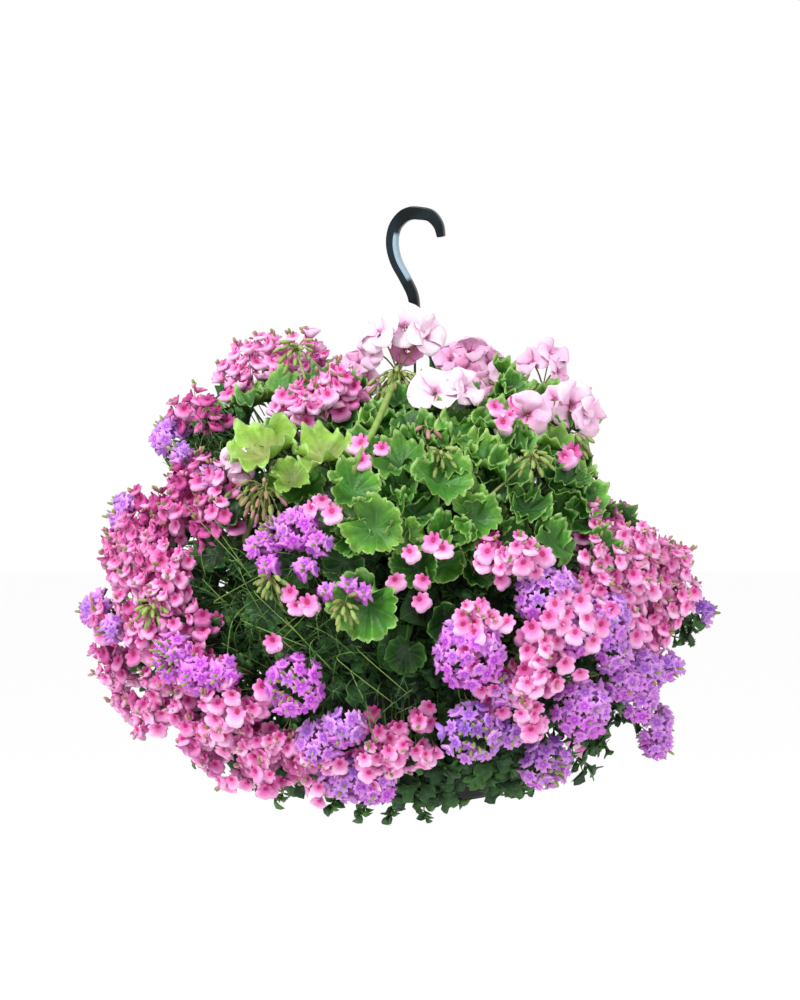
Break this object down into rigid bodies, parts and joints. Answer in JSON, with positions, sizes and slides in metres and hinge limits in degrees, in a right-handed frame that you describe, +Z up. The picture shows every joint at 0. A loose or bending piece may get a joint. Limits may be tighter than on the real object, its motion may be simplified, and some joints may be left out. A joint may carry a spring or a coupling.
{
  "type": "flower hanging basket",
  "caption": "Planted hanging basket: a round dark plastic pot on a moulded hook and wires, full of pelargonium, verbena and twinspur in pink and lilac flower.",
  "frame": {"origin": "middle of the hook's seat, the flat underside of its crown, where the basket hangs on a bracket", "axes": "+Z up, -Y towards the front, the side that the picture shows, +X to the right seen from the front"},
  "size_m": [0.6299, 0.5808, 0.581],
  "materials": {
    "hook_plastic": "satin",
    "coated_wire": "satin",
    "pot_plastic": "satin",
    "potting_soil": "matte",
    "pelargonium_leaf": "satin",
    "pelargonium_petal": "matte",
    "verbena_leaf": "matte",
    "verbena_petal": "matte",
    "twinspur_leaf": "matte",
    "twinspur_petal": "matte"
  },
  "bodies": {
    "root": {"hanger_wire_1": "coated_wire", "hanger_wire_2": "coated_wire", "hanger_wire_3": "coated_wire", "hook": "hook_plastic", "pelargonium_plant_1": "pelargonium_leaf", "pelargonium_plant_2": "pelargonium_leaf", "pelargonium_plant_3": "pelargonium_leaf", "pelargonium_umbel_01": "pelargonium_petal", "pelargonium_umbel_02": "pelargonium_petal", "pelargonium_umbel_03": "pelargonium_petal", "pelargonium_umbel_04": "pelargonium_petal", "pelargonium_umbel_05": "pelargonium_petal", "pelargonium_umbel_06": "pelargonium_petal", "pot": "pot_plastic", "soil": "potting_soil", "twinspur_plant_1": "twinspur_leaf", "twinspur_plant_2": "twinspur_leaf", "twinspur_plant_3": "twinspur_leaf", "twinspur_plant_4": "twinspur_leaf", "twinspur_spray_01": "twinspur_petal", "twinspur_spray_02": "twinspur_petal", "twinspur_spray_03": "twinspur_petal", "twinspur_spray_04": "twinspur_petal", "twinspur_spray_05": "twinspur_petal", "twinspur_spray_06": "twinspur_petal", "twinspur_spray_07": "twinspur_petal", "twinspur_spray_08": "twinspur_petal", "twinspur_spray_09": "twinspur_petal", "twinspur_spray_10": "twinspur_petal", "twinspur_spray_11": "twinspur_petal", "twinspur_spray_12": "twinspur_petal", "twinspur_spray_13": "twinspur_petal", "twinspur_spray_14": "twinspur_petal", "twinspur_spray_15": "twinspur_petal", "twinspur_spray_16": "twinspur_petal", "twinspur_spray_17": "twinspur_petal", "twinspur_spray_18": "twinspur_petal", "verbena_head_01": "verbena_petal", "verbena_head_02": "verbena_petal", "verbena_head_03": "verbena_petal", "verbena_head_04": "verbena_petal", "verbena_head_05": "verbena_petal", "verbena_head_06": "verbena_petal", "verbena_head_07": "verbena_petal", "verbena_head_08": "verbena_petal", "verbena_head_09": "verbena_petal", "verbena_head_10": "verbena_petal", "verbena_head_11": "verbena_petal", "verbena_head_12": "verbena_petal", "verbena_head_13": "verbena_petal", "verbena_head_14": "verbena_petal", "verbena_head_15": "verbena_petal", "verbena_head_16": "verbena_petal", "verbena_head_17": "verbena_petal", "verbena_head_18": "verbena_petal", "verbena_plant_1": "verbena_leaf", "verbena_plant_2": "verbena_leaf", "verbena_plant_3": "verbena_leaf", "verbena_plant_4": "verbena_leaf"}
  },
  "joints": []
}
